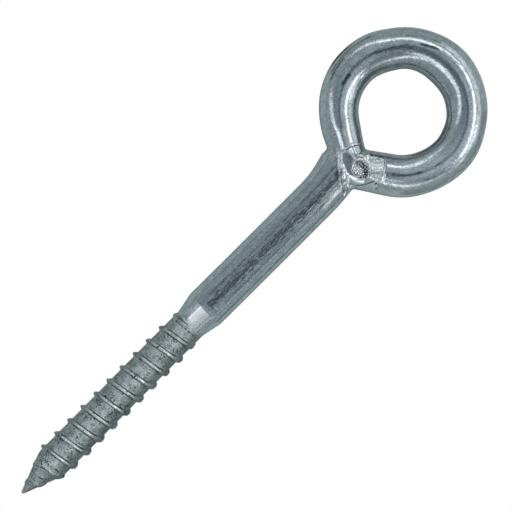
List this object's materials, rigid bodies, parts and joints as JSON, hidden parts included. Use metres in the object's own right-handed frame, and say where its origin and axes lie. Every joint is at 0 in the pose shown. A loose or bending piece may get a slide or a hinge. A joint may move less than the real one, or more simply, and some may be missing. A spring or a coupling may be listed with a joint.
{
  "type": "screw eye",
  "caption": "Heavy welded screw eye: a closed round eye on a straight plain shank with a coarse pointed wood-screw thread.",
  "frame": {"origin": "centre of the eye, on the middle plane of its ring", "axes": "+X along the shank from the point towards the eye, +Z square to the ring's plane and out of the face with the stamped weld, +Y towards the side where the rod bends from the neck into the ring"},
  "size_m": [0.1652, 0.0452, 0.0114],
  "materials": {
    "zinc_steel": "bright zinc plating on bent and drawn rod, duller and pitted on the rolled thread"
  },
  "bodies": {
    "root": {"screw_eye": "zinc_steel"}
  },
  "joints": []
}
